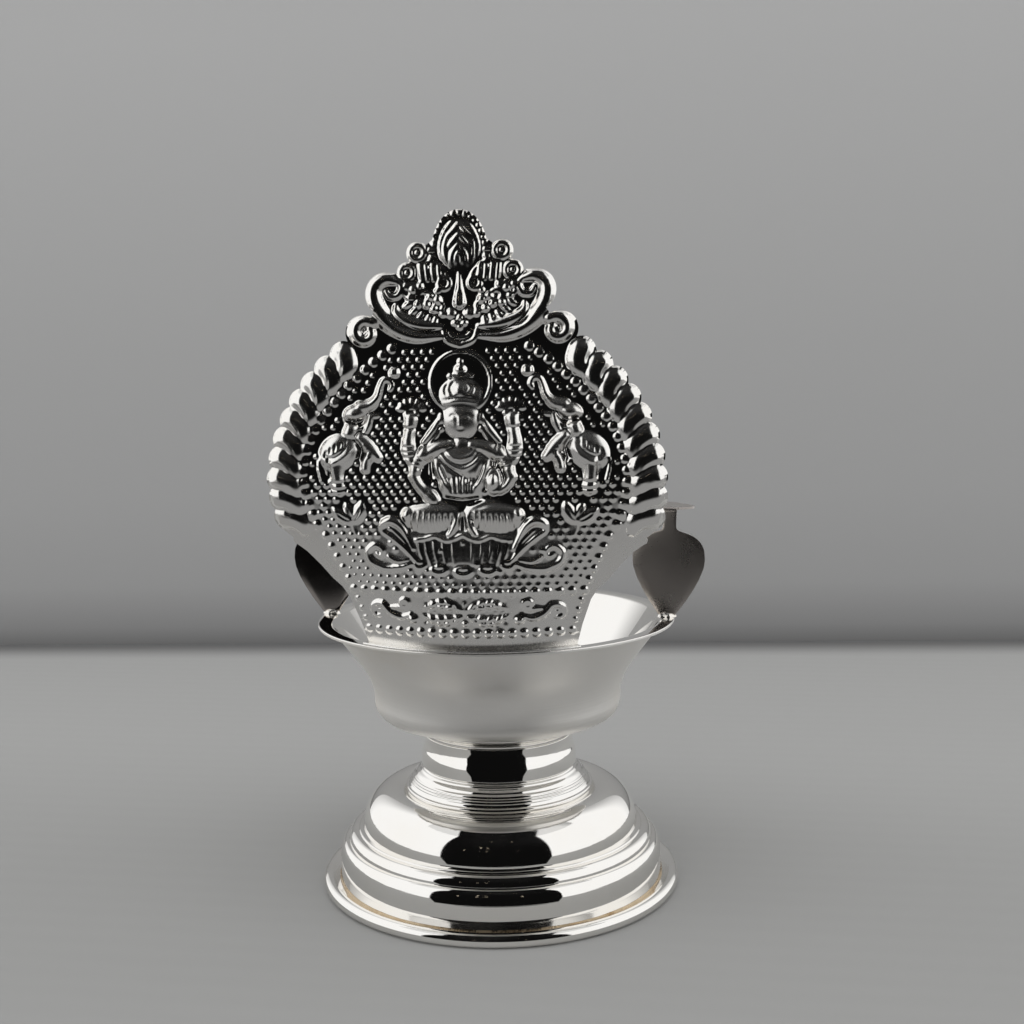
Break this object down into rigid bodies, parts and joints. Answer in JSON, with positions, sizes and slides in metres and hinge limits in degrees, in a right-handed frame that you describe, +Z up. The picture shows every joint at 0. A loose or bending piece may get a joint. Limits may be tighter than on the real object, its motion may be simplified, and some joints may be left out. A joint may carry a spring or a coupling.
{
  "type": "standing oil lamp",
  "caption": "Small standing silver oil lamp: hollow stepped foot, turned neck, open flared bowl that unscrews, an upright struck plate in front and two leaf-shaped ears.",
  "frame": {"origin": "on the lamp's axis, in the plane the foot ring stands on", "axes": "+Z up the lamp's axis; -Y towards the front, where the plate stands; +X to the viewer's right when looking at the plate"},
  "size_m": [0.0746, 0.0656, 0.1163],
  "materials": {
    "polished_silver": "polished silver with fine handling marks",
    "satin_silver": "spun silver, satin outside with turning lines, bright inside",
    "struck_silver": "die-struck silver sheet, bright high points and darker ground",
    "sheet_silver": "hand-cut silver sheet, soft polish",
    "bright_solder": "bright silver solder, slightly lumpy",
    "seam_solder": "silver solder with brown tarnish in the corner",
    "thread_brass": "turned brass"
  },
  "bodies": {
    "foot": {"foot_shell": "polished_silver", "foot_ring": "polished_silver", "foot_ring_solder": "seam_solder", "neck_collar": "polished_silver", "threaded_bush": "thread_brass", "collar_solder": "bright_solder"},
    "stud": {"threaded_stud": "thread_brass"},
    "bowl": {"bowl": "satin_silver", "stem_ring": "polished_silver", "stud_solder": "bright_solder", "front_plate": "struck_silver", "plate_solder": "bright_solder", "left_ear": "sheet_silver", "right_ear": "sheet_silver", "left_ear_solder": "bright_solder", "right_ear_solder": "bright_solder"}
  },
  "joints": [
    {"name": "stud_lift", "type": "slide", "parent": "foot", "child": "stud", "axis": [0, 0, 1], "range_m": [0, 0.0038]},
    {"name": "bowl_turn", "type": "hinge", "parent": "stud", "child": "bowl", "pos_m": [0, 0, 0.0272], "axis": [0, 0, 1], "range_deg": [0, 900]}
  ],
  "couplings": [
    {"joint": "stud_lift", "follows": "bowl_turn", "m_per_rad": 0.00023873}
  ]
}
